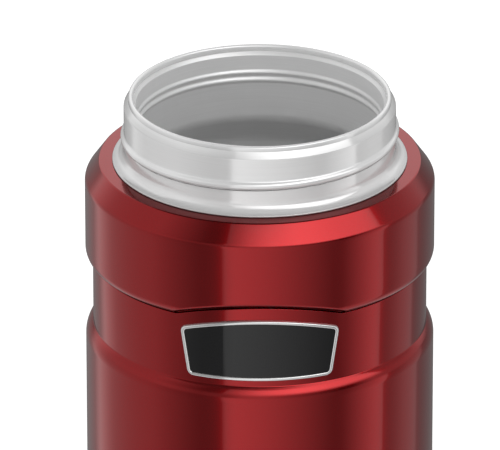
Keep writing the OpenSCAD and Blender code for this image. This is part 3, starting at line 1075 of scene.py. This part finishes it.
def make_floor():
    start_clean()
    bpy.ops.mesh.primitive_plane_add(size=FLOOR_SIZE, location=(0, 0, 0))
    floor = bpy.context.object
    floor.name = "studio_floor"
    floor.visible_glossy = False
    material = bpy.data.materials.new("pale_floor")
    material.use_nodes = True
    tree = material.node_tree
    tree.nodes.clear()
    out = tree.nodes.new("ShaderNodeOutputMaterial")
    in_view = tree.nodes.new("ShaderNodeLightPath").outputs["Is Camera Ray"]
    shade = tree.nodes.new("ShaderNodeBsdfDiffuse")
    shade.inputs["Color"].default_value = grey(FLOOR_LEVEL)
    glow = tree.nodes.new("ShaderNodeEmission")
    tree.links.new(calc(tree, "MULTIPLY", in_view, FLOOR_GLOW), glow.inputs["Strength"])
    both = tree.nodes.new("ShaderNodeAddShader")
    tree.links.new(shade.outputs[0], both.inputs[0])
    tree.links.new(glow.outputs[0], both.inputs[1])
    tree.links.new(both.outputs[0], out.inputs["Surface"])
    floor.data.materials.append(material)


def ramp(tree, turn, stops):
    """A grey colour ramp over a turn in radians, from stops in degrees from -180 to 180."""
    node = tree.nodes.new("ShaderNodeValToRGB")
    tree.links.new(spread(tree, turn, -math.pi, math.pi, 0, 1), node.inputs[0])
    band = node.color_ramp.elements
    for element, (angle, level) in zip(band, (stops[0], stops[-1])):
        element.position = (angle + 180) / 360
        element.color = grey(level)
    for angle, level in stops[1:-1]:
        band.new((angle + 180) / 360).color = grey(level)
    return node.outputs[0]


def soft_boxes(tree, glossy_depth):
    """The studio that glossy surfaces show, darker in a second reflection."""
    x, y, z = axes_of(tree, tree.nodes.new("ShaderNodeTexCoord").outputs["Generated"])
    turn = calc(tree, "ARCTAN2", x, calc(tree, "MULTIPLY", y, -1))

    def rising(heights):
        return spread(tree, z, *heights, 0, 1)

    level = grey(GROUND)
    for heights, stops in (
        (TO_TABLE, TABLE),
        (TO_HORIZON, HORIZON),
        (TO_OVERHEAD, OVERHEAD),
        (TO_CANOPY, CANOPY),
    ):
        level = blend(tree, rising(heights), level, ramp(tree, turn, stops))

    from_turn, to_turn = (math.radians(angle) for angle in BACK_BOX_TURN)
    behind = spread(tree, calc(tree, "ABSOLUTE", turn), from_turn, to_turn, 0, 1)
    fading = spread(tree, z, *BACK_BOX_HIGH, 1, 0)
    between = calc(tree, "MULTIPLY", rising(BACK_BOX_LOW), fading)
    level = blend(tree, calc(tree, "MULTIPLY", behind, between), level, grey(BACK_BOX))
    level = blend(tree, rising(TO_ZENITH), level, grey(DARK))
    again = spread(tree, glossy_depth, 1, 2, 0, SECOND_REFLECTION)
    return blend(tree, again, level, grey(DARK))


def make_world():
    """White to the camera, even to matt surfaces, and a studio of soft boxes to what is glossy."""
    world = bpy.context.scene.world or bpy.data.worlds.new("studio")
    bpy.context.scene.world = world
    world.use_nodes = True
    tree = world.node_tree
    tree.nodes.clear()
    out = tree.nodes.new("ShaderNodeOutputWorld")
    ray = tree.nodes.new("ShaderNodeLightPath").outputs

    def background(colour, strength=1.0):
        node = tree.nodes.new("ShaderNodeBackground")
        feed(tree, node.inputs["Color"], colour)
        feed(tree, node.inputs["Strength"], strength)
        return node.outputs[0]

    def choose(share, shader_a, shader_b):
        node = tree.nodes.new("ShaderNodeMixShader")
        for socket, source in zip(node.inputs, (share, shader_a, shader_b)):
            tree.links.new(source, socket)
        return node.outputs[0]

    boxes = background(soft_boxes(tree, ray["Glossy Depth"]))
    lit = choose(ray["Is Glossy Ray"], background(grey(1), MATT_LEVEL), boxes)
    in_view = calc(tree, "MAXIMUM", ray["Is Camera Ray"], ray["Is Transmission Ray"])
    tree.links.new(choose(in_view, lit, background(grey(1))), out.inputs["Surface"])


def make_lamp(name, place, size, power):
    start_clean()
    bpy.ops.object.light_add(type="AREA", location=place)
    lamp = bpy.context.object
    lamp.name = name
    lamp.data.shape = "SQUARE"
    lamp.data.size = size
    lamp.data.energy = power
    lamp.rotation_euler = (-Vector(place)).to_track_quat("-Z", "Y").to_euler()
    lamp.visible_glossy = False


def make_camera():
    bpy.ops.object.camera_add(
        location=CAMERA_PLACE, rotation=(math.radians(90 - CAMERA_DOWN), 0, 0)
    )
    camera = bpy.context.object
    camera.name = "camera"
    camera.data.sensor_width = 36
    camera.data.lens = CAMERA_LENS
    camera.data.shift_x = CAMERA_SHIFT
    camera.data.clip_start = 0.1
    camera.data.clip_end = 100
    bpy.context.scene.camera = camera


make_floor()
make_world()
make_lamp("key_lamp", place=(0.9, -1.3, 1.5), size=0.9, power=9)
make_lamp("fill_lamp", place=(-1.4, -0.8, 1.2), size=1.1, power=5)
make_camera()
bpy.context.scene.view_settings.view_transform = "Standard"
